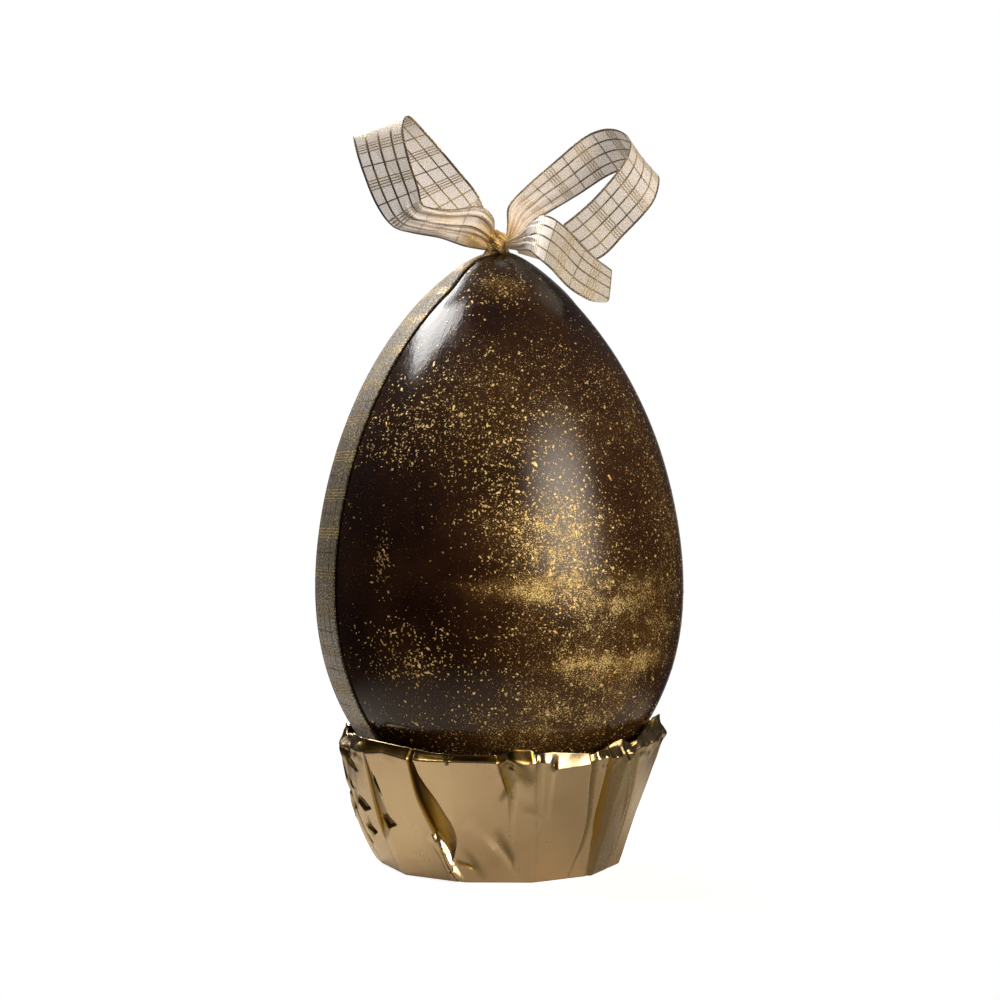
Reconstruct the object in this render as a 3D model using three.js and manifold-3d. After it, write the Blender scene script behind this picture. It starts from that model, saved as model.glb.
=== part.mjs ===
// A moulded chocolate egg that stands in a gold foil cup, tied lengthways with a plaid organza
// ribbon whose bow sits on the egg's tip. Millimetres, +Z up. The origin is the middle of the
// cup's flat underside, and -Y is the front, from which the bow's loops spread left and right.
import * as THREE from "three";
import { mergeVertices } from "three/addons/utils/BufferGeometryUtils.js";
import Module from "manifold-3d";

// Egg: a body of revolution, blunt below and pointed above.
const EGG_WIDTH = 154;
const EGG_HEIGHT = 243.5;
const EGG_FOOT_Z = 12; // the blunt end's height above the table
const EGG_FOOT_X = 0.7; // the egg stands a little to the right and leans left
const EGG_LEAN = -0.0057; // radians about Y
const EGG_TAPER = [1, -0.178, -0.058, 0.086, -0.231]; // how far the form is from an ellipsoid
const EGG_ROWS = 33;
const EGG_SEGMENTS = 54;

// Ribbon: organza, 25 mm wide, drawn thicker than cloth so that it is a sound solid.
const RIBBON_WIDTH = 25;
const RIBBON_THICK = 0.6;
const CLEARANCE = 0.3; // between pieces that touch
const FACET_MARGIN = 0.4; // added where two faceted surfaces follow each other
const SEAM_TURN = THREE.MathUtils.degToRad(22); // the band's left side faces the front by this much
const BAND_STATIONS = 64;
const BAND_CELLS = 4; // across the strip
const BAND_HUG = [0.3, 1]; // how closely its near and its far side hug the egg across their width
const HUG_CHANGE = 0.25; // the far side's share over which the one turns into the other
const FAR_SLIP = THREE.MathUtils.degToRad(9); // and how far the far side has slipped to the back
const BAND_GATHER_Z = 236; // from here up the band is drawn together towards the knot
const BAND_TIP_WIDTH = 8;

// Foil cup: a folded eleven-sided foot, a flared wall with pressed pleats and a rolled lip.
const CUP_COLUMNS = 120;
const FOOT_RADIUS = 50.3;
const FOOT_SIDES = 11;
const FOOT_FIRST_CORNER = -17.5; // degrees from the front, to the right
const FOOT_CHAMFER = 1.2;
const BROW_RADIUS = 69.8; // where the wall turns in to the lip
const BROW_Z = 52.6;
const LIP_TOP = [67.2, 56.8]; // radius and height
const LIP_INSIDE = [65.6, 56];
const LIP_BULGE = 0.5; // of the turn between brow and lip
const LIP_HOLD = [0.8, 0.5, 0.3]; // shares of the pleats' depth that carry on over the lip
const MOAT = [[64.4, 50], [57, 36.5], [47.5, 31]]; // the gap round the egg, outside to inside
const SEAT_REACH = [34, 24, 12, 0.01]; // distances from the axis at which the seat backs the egg
const WALL_ROWS = [0.1, 0.22, 0.34, 0.46, 0.58, 0.7, 0.82, 0.92, 1];
const FOOT_BLEND = 0.4; // share of the wall's height over which the foot's corners fade out

// Pleats: the fold's line at the rim and at the foot and its width there, all in degrees, and
// its depth in millimetres. Each drops sharply at its line and eases out to the right.
const PLEAT_EDGE = 3.2; // degrees over which a pleat drops
const PLEATS = [
  { rim: -86, foot: -76, rimWidth: 7, footWidth: 9, depth: 2.4 },
  { rim: -54, foot: -58, rimWidth: 5, footWidth: 9, depth: 2.6 },
  { rim: -33, foot: -20, rimWidth: 4, footWidth: 11, depth: 3.2 },
  { rim: -2, foot: 4, rimWidth: 9, footWidth: 5, depth: 1.2 },
  { rim: 11, foot: 15.5, rimWidth: 6, footWidth: 4, depth: 0.9 },
  { rim: 31, foot: 36, rimWidth: 4, footWidth: 3, depth: 1.2 },
  { rim: 39.5, foot: 43, rimWidth: 5, footWidth: 6, depth: 2.6 },
  { rim: 52, foot: 66, rimWidth: 8, footWidth: 7, depth: 1.6 },
  { rim: 78, foot: 82, rimWidth: 7, footWidth: 7, depth: 1.8 },
];
// The cup's far side is folded alike, at an even pace, with a swing that makes the folds differ.
const BACK_PLEATS = { count: 7, from: 104, step: 25, width: 7, depth: 1.9, swing: 3, turn: 2.4 };
const RIM_WAVES = [[0.7, 2, 0.4], [0.42, 5, 1]]; // the rim is not level: height, count and shift

// Bow: each strip is spanned between its two selvedges, given station by station.
const STEPS_PER_STATION = 3;
const STRIP_CELLS = 6;
const LEFT_LOOP = [
  [[-4, -3, 256.5], [-3.5, -3, 261.5]],
  [[-9, -5, 257], [-2.5, -8, 269]],
  [[-15.5, -7, 258], [-8, -11, 274]],
  [[-25, -9, 261], [-19.5, -14, 272.5]],
  [[-36.5, -10, 263], [-28.5, -18, 272.5]],
  [[-45, -10, 266], [-32, -20, 274]],
  [[-52, -9, 275.5], [-33.5, -21, 280.5]],
  [[-58, -8, 290.5], [-37.5, -20, 293]],
  [[-61, -6, 301], [-40, -17, 305.5]],
  [[-61, -1, 305.5], [-38, -10, 312]],
  [[-53, 4, 299.5], [-30.5, -5, 305.5]],
  [[-40.5, 6, 285], [-18.5, -2, 292]],
  [[-26.5, 5, 270], [-9, 1, 280.5]],
  [[-9, 3, 259.5], [-5.5, 2, 269.5]],
  [[-4, 2, 258.5], [-3, 2, 262]],
];
const RIGHT_LOOP = [
  [[2.5, 1, 260.5], [3.5, -1, 258]],
  [[3, 2, 268.5], [8.5, 4, 264]],
  [[3.5, 3, 276.5], [14.5, 10, 270.5]],
  [[10, 4, 284], [22, 15, 276]],
  [[23, 4, 295.5], [34, 17, 283.5]],
  [[36, 3, 306], [48, 15, 292]],
  [[45.5, -1, 308.5], [59, 11, 294]],
  [[52.5, -7, 305], [66.5, 5, 290.5]],
  [[54, -12, 299], [67, -1, 284.5]],
  [[50, -15, 290], [63.5, -4, 275.5]],
  [[38.5, -15, 276.5], [52.5, -3, 263.5]],
  [[26.5, -13, 266.5], [41, -3, 253]],
  [[15.5, -8, 260], [24, -4, 251.5]],
  [[5.5, -3, 258], [8, -3, 255.5]],
];
const FRONT_TAIL = [
  [[3, -5, 260.5], [3, -6, 257]],
  [[9.5, -9, 264], [8.5, -13, 255.5]],
  [[15, -13, 269], [12, -22, 254]],
  [[20.5, -17, 269], [15.5, -29, 250]],
  [[27, -20, 264], [20.5, -34, 245]],
  [[36.5, -22, 253.5], [29, -37, 236]],
  [[45.5, -23, 246], [42, -38, 228]],
];
const BACK_TAIL = [
  [[-2, 3, 260.5], [1.5, 3, 260.5]],
  [[-5, 10, 260], [3, 10, 260]],
  [[-10, 21, 254.5], [6, 21, 254.5]],
  [[-15, 31, 245.5], [7, 32, 245.5]],
  [[-18, 42, 233.5], [6.5, 44, 233.5]],
  [[-20, 50.5, 221], [5, 53, 214.5]],
];
const KNOT_CENTRE = [-0.8, -1.5, 261.4];
const KNOT_SIZE = [5.2, 5, 4.6]; // half-axes
const KNOT_CREASES = 5;
const KNOT_CREASE_DEPTH = 0.08;

const CHOCOLATE = { color: 0x2a1a10, roughness: 0.25, metalness: 0 };
const GOLD_FOIL = { color: 0xb59a6c, roughness: 0.3, metalness: 1 };
const ORGANZA = { color: 0xc9bda4, roughness: 0.6, metalness: 0 };

const { lerp, smoothstep, degToRad, euclideanModulo } = THREE.MathUtils;

const wasm = await Module();
wasm.setup();

// Solids

// A closed solid through a row of like outlines. Its ends are closed by laddering across the
// outline, or it runs round in a ring and has none.
function skin(outlines, ring = false) {
  const size = outlines[0].length;
  const at = (row, k) => (row % outlines.length) * size + (k % size);
  const index = [];
  const quad = (a, b, c, d) => index.push(a, b, c, a, c, d);
  for (let row = 0; row < outlines.length - (ring ? 0 : 1); row++)
    for (let k = 0; k < size; k++)
      quad(at(row, k), at(row, k + 1), at(row + 1, k + 1), at(row + 1, k));
  if (!ring) {
    const last = outlines.length - 1;
    for (let k = 0; k < size / 2 - 1; k++) {
      quad(at(0, k), at(0, size - 1 - k), at(0, size - 2 - k), at(0, k + 1));
      quad(at(last, k), at(last, k + 1), at(last, size - 2 - k), at(last, size - 1 - k));
    }
  }
  const points = outlines.flat();
  if (signedVolume(points, index) < 0) index.reverse();
  const geometry = new THREE.BufferGeometry().setFromPoints(points);
  return geometry.setIndex(index);
}

function signedVolume(points, index) {
  let volume = 0;
  for (let i = 0; i < index.length; i += 3) {
    const [a, b, c] = [0, 1, 2].map((k) => points[index[i + k]]);
    volume += a.dot(b.clone().cross(c)) / 6;
  }
  return volume;
}

function toSolid(geometry) {
  const bare = new THREE.BufferGeometry().setAttribute("position", geometry.getAttribute("position"));
  const merged = mergeVertices(bare.setIndex(geometry.index), 1e-4);
  const mesh = {
    numProp: 3,
    vertProperties: merged.attributes.position.array,
    triVerts: new Uint32Array(merged.index.array),
  };
  return new wasm.Manifold(new wasm.Mesh(mesh));
}

function fromSolid(solid) {
  const { vertProperties, triVerts } = solid.getMesh();
  return new THREE.BufferGeometry()
    .setAttribute("position", new THREE.BufferAttribute(vertProperties, 3))
    .setIndex(new THREE.BufferAttribute(triVerts, 1));
}

// Egg

// How wide the egg is at an angle from its blunt end, 0, to its tip, PI, before it is scaled.
// Past PI the width is negative: the outline goes on down the other side.
function rawWidth(angle) {
  const form = EGG_TAPER.reduce((sum, factor, power) => sum + factor * (-Math.cos(angle)) ** power, 0);
  return Math.sin(angle) * form;
}

const SAMPLES = 400;
const WIDEST = Math.max(...Array.from({ length: SAMPLES }, (_, i) => rawWidth((Math.PI * i) / SAMPLES)));

// The egg's outline: distance from the axis and height over the blunt end.
function eggProfile(angle) {
  const height = ((1 - Math.cos(angle)) / 2) * EGG_HEIGHT;
  return new THREE.Vector2(((rawWidth(angle) / WIDEST) * EGG_WIDTH) / 2, height);
}

// The same outline, moved out square to the egg's surface.
function eggOffset(angle, gap) {
  const step = 1e-3;
  const along = eggProfile(angle + step).sub(eggProfile(angle - step)).normalize();
  return eggProfile(angle).add(new THREE.Vector2(along.y, -along.x).multiplyScalar(gap));
}

function eggGeometry() {
  const profile = Array.from({ length: EGG_ROWS + 1 }, (_, i) => eggProfile((Math.PI * i) / EGG_ROWS));
  profile[EGG_ROWS].x = 0;
  return new THREE.LatheGeometry(profile, EGG_SEGMENTS).rotateX(Math.PI / 2);
}

// Ribbon

// The band is one strip round the egg's seam, drawn narrow where it meets the knot.
function bandGeometry() {
  const outlines = Array.from({ length: BAND_STATIONS }, (_, i) => {
    const angle = (2 * Math.PI * i) / BAND_STATIONS;
    const gather = smoothstep(eggProfile(angle).y + EGG_FOOT_Z, BAND_GATHER_Z, EGG_FOOT_Z + EGG_HEIGHT);
    const half = lerp(RIBBON_WIDTH, BAND_TIP_WIDTH, gather) / 2;
    const far = Math.max(-Math.sin(angle), 0);
    const hug = lerp(BAND_HUG[0], BAND_HUG[1], Math.min(far / HUG_CHANGE, 1));
    const across = Array.from({ length: BAND_CELLS + 1 }, (_, k) => half * ((2 * k) / BAND_CELLS - 1));
    const layer = (gap) => {
      const { x, y } = eggOffset(angle, gap);
      const girth = Math.max(Math.abs(x), 2 * half);
      return across.map((side) => {
        const drop = hug * (girth - Math.sqrt(girth ** 2 - side ** 2)) * Math.sign(x);
        const point = new THREE.Vector3(drop - x, side, y);
        return point.applyAxisAngle(new THREE.Vector3(0, 0, 1), FAR_SLIP * far);
      });
    };
    return [...layer(CLEARANCE), ...layer(CLEARANCE + RIBBON_THICK).reverse()];
  });
  return skin(outlines, true);
}

// A strip of ribbon through its stations, each the two selvedge points across it.
function stripGeometry(stations) {
  const [one, other] = [0, 1].map(
    (k) => new THREE.CatmullRomCurve3(stations.map((s) => new THREE.Vector3(...s[k]))),
  );
  const steps = (stations.length - 1) * STEPS_PER_STATION;
  const outlines = Array.from({ length: steps + 1 }, (_, i) => {
    const t = i / steps;
    const a = one.getPoint(t);
    const b = other.getPoint(t);
    const along = one.getTangent(t).add(other.getTangent(t));
    const half = b.clone().sub(a).cross(along).setLength(RIBBON_THICK / 2);
    const across = Array.from({ length: STRIP_CELLS + 1 }, (_, k) => a.clone().lerp(b, k / STRIP_CELLS));
    const upper = across.map((p) => p.clone().add(half));
    const lower = across.map((p) => p.clone().sub(half));
    return [...upper, ...lower.reverse()];
  });
  return skin(outlines);
}

function knotGeometry(grow = 0) {
  const geometry = new THREE.SphereGeometry(1, 20, 12);
  const position = geometry.getAttribute("position");
  const point = new THREE.Vector3();
  for (let i = 0; i < position.count; i++) {
    point.fromBufferAttribute(position, i);
    const girth = Math.sqrt(1 - Math.min(point.x ** 2, 1));
    const crease = 1 + KNOT_CREASE_DEPTH * girth * Math.cos(KNOT_CREASES * Math.atan2(point.z, point.y));
    point.multiplyScalar(crease);
    position.setXYZ(i, ...point);
  }
  const [x, y, z] = KNOT_SIZE.map((half) => half + grow);
  return geometry.scale(x, y, z).translate(...KNOT_CENTRE);
}

// Foil cup

// Degrees from the front, to the right, as a place on a circle of one millimetre.
function around(degrees) {
  const angle = degToRad(degrees);
  return new THREE.Vector2(Math.sin(angle), -Math.cos(angle));
}

function backPleat(k) {
  const { from, step, width, depth, swing, turn } = BACK_PLEATS;
  const rim = from + step * k;
  const own = swing * Math.sin(turn * k);
  return { rim, foot: rim + 2 * own, rimWidth: width + own, footWidth: width, depth: depth + own / 5 };
}

const ALL_PLEATS = [...PLEATS, ...Array.from({ length: BACK_PLEATS.count }, (_, k) => backPleat(k))];

// How far the pleats set the wall in, at an angle and a share of the wall's height.
function pleatDepth(degrees, share) {
  return ALL_PLEATS.reduce((sum, pleat) => {
    const line = lerp(pleat.foot, pleat.rim, share);
    const width = lerp(pleat.footWidth, pleat.rimWidth, share);
    const past = euclideanModulo(degrees - line + 180, 360) - 180;
    if (past < -PLEAT_EDGE || past > width) return sum;
    return sum + pleat.depth * (past < 0 ? 1 + past / PLEAT_EDGE : 1 - past / width);
  }, 0);
}

// The foot's outline: a polygon, as a share of the radius of its corners.
function footShare(degrees) {
  const side = 360 / FOOT_SIDES;
  const fromMiddle = euclideanModulo(degrees - FOOT_FIRST_CORNER, side) - side / 2;
  return Math.cos(degToRad(side / 2)) / Math.cos(degToRad(fromMiddle));
}

function cupRing(place) {
  return Array.from({ length: CUP_COLUMNS }, (_, i) => {
    const degrees = (360 * i) / CUP_COLUMNS;
    const [radius, z] = place(degrees);
    const spoke = around(degrees).multiplyScalar(radius);
    return new THREE.Vector3(spoke.x, spoke.y, z);
  });
}

function rimWave(degrees) {
  const angle = degToRad(degrees);
  return RIM_WAVES.reduce((sum, [height, count, shift]) => sum + height * Math.sin(count * angle + shift), 0);
}

function cupGeometry() {
  const foot = (inset, z) => cupRing((degrees) => [FOOT_RADIUS * footShare(degrees) - inset, z]);
  const wall = (share) =>
    cupRing((degrees) => {
      const cornered = lerp(footShare(degrees), 1, Math.min(share / FOOT_BLEND, 1));
      const radius = lerp(FOOT_RADIUS, BROW_RADIUS, share) * cornered;
      return [radius - pleatDepth(degrees, share), BROW_Z * share + rimWave(degrees) * share ** 2];
    });
  const lip = ([radius, z], hold) =>
    cupRing((degrees) => [radius - hold * pleatDepth(degrees, 1), z + rimWave(degrees)]);
  const moat = MOAT.map(([radius, z]) => cupRing(() => [radius, z]));
  const seat = SEAT_REACH.map((reach) => {
    const { x, y } = seatPoint(reach);
    return cupRing(() => [Math.hypot(x, RIBBON_WIDTH / 2 + CLEARANCE), y + EGG_FOOT_Z]);
  });
  return skin([
    foot(FOOT_CHAMFER, 0),
    foot(0, FOOT_CHAMFER),
    ...WALL_ROWS.map(wall),
    lip([(BROW_RADIUS + LIP_TOP[0]) / 2 + LIP_BULGE, (BROW_Z + LIP_TOP[1]) / 2 + LIP_BULGE], LIP_HOLD[0]),
    lip(LIP_TOP, LIP_HOLD[1]),
    lip(LIP_INSIDE, LIP_HOLD[2]),
    ...moat,
    ...seat,
  ]);
}

// The seat backs the ribboned egg: the point that lies a ribbon and two clearances off its
// underside, at about the given distance from the axis.
function seatPoint(reach) {
  const step = 1e-3;
  let angle = 0;
  while (eggProfile(angle).x < reach) angle += step;
  return eggOffset(angle, 2 * CLEARANCE + RIBBON_THICK + FACET_MARGIN);
}

// Assembly

function place(parent, name, geometry, finish) {
  const mesh = new THREE.Mesh(geometry, new THREE.MeshStandardMaterial(finish));
  mesh.name = name;
  parent.add(mesh);
  return mesh;
}

const object = new THREE.Group();

const leaning = new THREE.Group();
leaning.position.set(EGG_FOOT_X, 0, EGG_FOOT_Z);
leaning.rotation.y = EGG_LEAN;
object.add(leaning);
place(leaning, "egg", eggGeometry(), CHOCOLATE);
place(leaning, "ribbon_band", bandGeometry().rotateZ(SEAM_TURN), ORGANZA);

place(object, "foil_cup", cupGeometry(), GOLD_FOIL);

// The bow's strips end at the knot, and lie clear of the egg's tip and the band on it.
const knotRoom = toSolid(knotGeometry(CLEARANCE));
const bandRoom = 2 * CLEARANCE + RIBBON_THICK;
const widened = 1 + (2 * bandRoom) / EGG_WIDTH;
const raised = EGG_FOOT_Z + bandRoom + CLEARANCE / 2;
const tipRoom = toSolid(eggGeometry().scale(widened, widened, 1).translate(0, 0, raised));
place(object, "bow_knot", knotGeometry(), ORGANZA);
for (const [name, stations] of [
  ["bow_loop_left", LEFT_LOOP],
  ["bow_loop_right", RIGHT_LOOP],
  ["bow_tail_front", FRONT_TAIL],
  ["bow_tail_back", BACK_TAIL],
]) {
  const strip = toSolid(stripGeometry(stations)).subtract(knotRoom).subtract(tipRoom);
  place(object, name, fromSolid(strip), ORGANZA);
}

export default object;
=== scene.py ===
"""A tall dark chocolate egg dusted with gold, standing in a crumpled gold foil cup and tied
lengthways with plaid organza ribbon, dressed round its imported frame."""
import math

import bmesh
import bpy
import numpy as np
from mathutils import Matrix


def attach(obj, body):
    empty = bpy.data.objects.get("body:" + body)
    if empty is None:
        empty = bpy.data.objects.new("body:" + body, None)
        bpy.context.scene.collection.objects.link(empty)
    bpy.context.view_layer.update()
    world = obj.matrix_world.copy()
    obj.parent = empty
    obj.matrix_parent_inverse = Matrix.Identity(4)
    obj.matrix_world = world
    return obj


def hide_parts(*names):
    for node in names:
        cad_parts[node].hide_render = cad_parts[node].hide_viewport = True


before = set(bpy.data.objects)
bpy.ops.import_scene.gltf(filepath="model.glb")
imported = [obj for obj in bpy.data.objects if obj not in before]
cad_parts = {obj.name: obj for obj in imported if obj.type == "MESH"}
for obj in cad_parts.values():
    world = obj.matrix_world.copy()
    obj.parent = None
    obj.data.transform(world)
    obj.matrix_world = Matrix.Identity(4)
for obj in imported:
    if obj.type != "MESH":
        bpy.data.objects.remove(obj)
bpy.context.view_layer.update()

# ----------------------------------------------------------------------------
# Camera: a long lens 0.8 m away, level with the egg's middle. It takes in the whole egg, from
# the foil cup's foot to the bow.
CAMERA_PLACE = (0, -0.8, 0.149)
CAMERA_TILT = 0.0036
LENS = 68.27
SENSOR_WIDTH = 36

camera_data = bpy.data.cameras.new("camera")
camera_data.lens = LENS
camera_data.sensor_width = SENSOR_WIDTH
camera = bpy.data.objects.new("camera", camera_data)
camera.location = CAMERA_PLACE
camera.rotation_euler = (math.pi / 2 + CAMERA_TILT, 0, 0)
bpy.context.scene.collection.objects.link(camera)
bpy.context.scene.camera = camera
bpy.context.scene.view_settings.view_transform = "Standard"

# ----------------------------------------------------------------------------
# Studio: a white table in a dim room, lit by softboxes. They are bright fields of the sky: one
# behind on the left, one overhead and one in front on the right.


class Wire:
    """A value on its way through a material. Sums on it add Math nodes, node() adds any other."""

    def __init__(self, tree, socket=None):
        self.tree = tree
        self.socket = socket

    def node(self, kind, settings, inputs, output=0):
        """A node of any kind, with its settings and the values or wires of its sockets."""
        made = self.tree.nodes.new("ShaderNode" + kind)
        for key, value in settings.items():
            setattr(made, key, value)
        for key, value in inputs.items():
            if isinstance(value, Wire):
                self.tree.links.new(value.socket, made.inputs[key])
            else:
                made.inputs[key].default_value = value
        return Wire(self.tree, made.outputs[output])

    def maths(self, operation, *others):
        """A Math node, on this value and any others."""
        return self.node("Math", {"operation": operation}, dict(enumerate((self, *others))))

    def __add__(self, other):
        return self.maths("ADD", other)

    __radd__ = __add__

    def __sub__(self, other):
        return self.maths("SUBTRACT", other)

    def __rsub__(self, other):
        return self.node("Math", {"operation": "SUBTRACT"}, {0: other, 1: self})

    def __mul__(self, other):
        return self.maths("MULTIPLY", other)

    __rmul__ = __mul__

    def __truediv__(self, other):
        return self.maths("DIVIDE", other)

    def __rtruediv__(self, other):
        return self.node("Math", {"operation": "DIVIDE"}, {0: other, 1: self})

    def __neg__(self):
        return self * -1

    def __abs__(self):
        return self.maths("ABSOLUTE")

    def above(self, low, high):
        """0 below low, 1 above high, eased between."""
        settings = {"interpolation_type": "SMOOTHSTEP"}
        return self.node("MapRange", settings, {"Value": self, "From Min": low, "From Max": high})

    def below(self, low, high):
        return 1 - self.above(low, high)

    def mix(self, first, second):
        """A colour between two others, by this share."""
        return self.node("Mix", {"data_type": "RGBA"}, {"Factor": self, 6: first, 7: second}, 2)

    def tinted(self, colour):
        """This value as the strength of a colour, which may be brighter than white."""
        return self.node("VectorMath", {"operation": "SCALE"}, {0: colour[:3], "Scale": self})

    def vector(self, operation, other=(0, 0, 0), output=0):
        """This colour or vector, worked on by another one."""
        return self.node("VectorMath", {"operation": operation}, {0: self, 1: other}, output)

    def along(self, direction):
        """How far this vector reaches in a direction."""
        return self.vector("DOT_PRODUCT", direction, "Value")

    def noise(self, scale, detail, roughness=0.5, dimensions="3D", output=0):
        """Clouds of noise over this place, from 0 to 1."""
        inputs = {"Vector": self, "Scale": scale, "Detail": detail, "Roughness": roughness}
        return self.node("TexNoise", {"noise_dimensions": dimensions}, inputs, output)


WARM_WHITE = (1, 0.985, 0.97, 1)
SUNNY_WHITE = (1, 0.9, 0.77, 1)
SOFTBOXES = [  # middle, one edge's direction, half-widths as tangents, brightness, softness, tint
    ((-0.478, 0.449, 0.755), (-0.363, -0.917, 0.158), (0.46, 0.2), 13.5, 0.05, WARM_WHITE),
    ((0.05, 0.55, 0.83), (1, 0, 0), (0.35, 0.12), 1.2, 0.12, WARM_WHITE),
    ((0.64, -0.7, 0.31), (0.73, 0.69, 0), (0.28, 0.32), 10.0, 0.25, SUNNY_WHITE),
]
ROOM_TINT = (1, 0.96, 0.92, 1)
ROOM_LOW = 0.03  # how bright the room is low down
ROOM_HIGH = 0.12  # and overhead
BACK_GLOW = 0.4  # a small light straight behind, for the egg's rim
WHITE = (1, 1, 1, 1)

world = bpy.data.worlds.new("studio")
bpy.context.scene.world = world
world.use_nodes = True
world.node_tree.nodes.clear()
sky = Wire(world.node_tree)
towards = sky.node("TexCoord", {}, {}, "Generated")
upwards = towards.along((0, 0, 1)).above(-0.1, 0.9)
colour = (upwards * (ROOM_HIGH - ROOM_LOW) + ROOM_LOW).tinted(ROOM_TINT)
for middle, edge, (half_long, half_short), brightness, softness, tint in SOFTBOXES:
    middle = np.array(middle) / np.linalg.norm(middle)
    edge = np.array(edge) - np.dot(edge, middle) * middle
    edge /= np.linalg.norm(edge)
    other_edge = np.cross(middle, edge)
    ahead = towards.along(middle)
    spread = ahead.maths("MAXIMUM", 0.05)
    field = ahead.above(0, 0.2)
    for side, half in ((edge, half_long), (other_edge, half_short)):
        offset = abs(towards.along(side) / spread)
        field = field * offset.below(half - softness, half + softness)
    colour = colour.vector("ADD", (field * brightness).tinted(tint))
behind = towards.along((0, 1, 0)).above(0.93, 1.0)
colour = colour.vector("ADD", (behind * BACK_GLOW).tinted(WHITE))
seen = sky.node("LightPath", {}, {}, "Is Camera Ray")
lit = sky.node("Background", {}, {"Color": colour, "Strength": 1.0})
plain = sky.node("Background", {}, {"Color": WHITE, "Strength": 1.0})
shown = sky.node("MixShader", {}, {0: seen, 1: lit, 2: plain})
world_output = world.node_tree.nodes.new("ShaderNodeOutputWorld")
world.node_tree.links.new(shown.socket, world_output.inputs["Surface"])

FLOOR_REACH = 4
floor_mesh = bpy.data.meshes.new("floor")
floor_corners = [(FLOOR_REACH * x, FLOOR_REACH * y, 0) for x, y in ((-1, -1), (1, -1), (1, 1), (-1, 1))]
floor_mesh.from_pydata(floor_corners, [], [(0, 1, 2, 3)])
floor = bpy.data.objects.new("floor", floor_mesh)
bpy.context.scene.collection.objects.link(floor)


def new_finish(name):
    """A material, the start of its shader maths, and its surface shader."""
    material = bpy.data.materials.new(name)
    material.use_nodes = True
    tree = material.node_tree
    return material, Wire(tree), tree.nodes["Principled BSDF"]


def feed(shader, **inputs):
    """Sets a surface shader's sockets to values, or to wires."""
    for key, value in inputs.items():
        socket = shader.inputs[key.replace("_", " ")]
        if isinstance(value, Wire):
            value.tree.links.new(value.socket, socket)
        else:
            socket.default_value = value


TABLE_FADE = (0.105, 0.25)  # it fades into the white backdrop between these distances
TABLE_WHITE = (0.3, 0.3, 0.3, 1)
TABLE_GLOW = (0.86, 0.86, 0.86, 1)
MIRRORED_WHITE = (0.35, 0.315, 0.27, 1)  # the table as the foil and the chocolate mirror it
MIRRORED_GLOW = (0.15, 0.1375, 0.12, 1)

table, shade, surface = new_finish("table")
place = shade.node("TexCoord", {}, {}, "Object")
seen = shade.node("LightPath", {}, {}, "Is Camera Ray")
feed(
    surface,
    Base_Color=seen.mix(MIRRORED_WHITE, TABLE_WHITE),
    Roughness=0.8,
    Emission_Color=seen.mix(MIRRORED_GLOW, TABLE_GLOW),
    Emission_Strength=1.0,
    Alpha=place.vector("LENGTH", output="Value").below(*TABLE_FADE),
)
floor.data.materials.append(table)

# ----------------------------------------------------------------------------
# Egg: moulded dark chocolate, polished, and dusted with gold powder that lies thick in clouds
# and bands. Its outline is a body of revolution that leans a little to the left.
EGG_WIDTH = 0.154
EGG_HEIGHT = 0.2435
EGG_FOOT = (0.0007, 0.012)  # the blunt end's place to the right and above the table
EGG_LEAN = -0.0057
EGG_TAPER = (1, -0.178, -0.058, 0.086, -0.231)  # factors of the height's powers, from 0
EGG_ROWS = 220
EGG_COLUMNS = 320
EGG_RIPPLE = 0.00005  # how uneven the moulded skin is
OUTLINE_STEP = 1e-4


def raw_width(angle):
    """The egg's width from its blunt end, at 0, to its tip, at pi, before it is scaled."""
    form = sum(factor * (-np.cos(angle)) ** power for power, factor in enumerate(EGG_TAPER))
    return np.sin(angle) * form


WIDEST = raw_width(np.linspace(0, math.pi, 2000)).max()


def outline(angle):
    """Distance from the axis, and height over the blunt end."""
    return raw_width(angle) / WIDEST * EGG_WIDTH / 2, (1 - np.cos(angle)) / 2 * EGG_HEIGHT


def egg_profile(angle, gap=0.0):
    """The outline, moved out square by a gap."""
    width, height = outline(angle)
    wider, higher = np.subtract(outline(angle + OUTLINE_STEP), outline(angle - OUTLINE_STEP))
    length = np.hypot(wider, higher)
    return width + higher / length * gap, height - wider / length * gap


def lean(points):
    """From the egg's own upright place to where it stands in its cup."""
    x, y, z = np.moveaxis(np.asarray(points, float), -1, 0)
    turned = (
        x * math.cos(EGG_LEAN) + z * math.sin(EGG_LEAN) + EGG_FOOT[0],
        y,
        z * math.cos(EGG_LEAN) - x * math.sin(EGG_LEAN) + EGG_FOOT[1],
    )
    return np.stack(turned, -1)


def on_egg(turn, angle, gap=0.0):
    """The point on the egg at a turn from the front to the right, and an angle up its outline."""
    width, height = egg_profile(angle, gap)
    return lean(np.stack([width * np.sin(turn), -width * np.cos(turn), height + 0 * turn], -1))


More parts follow.
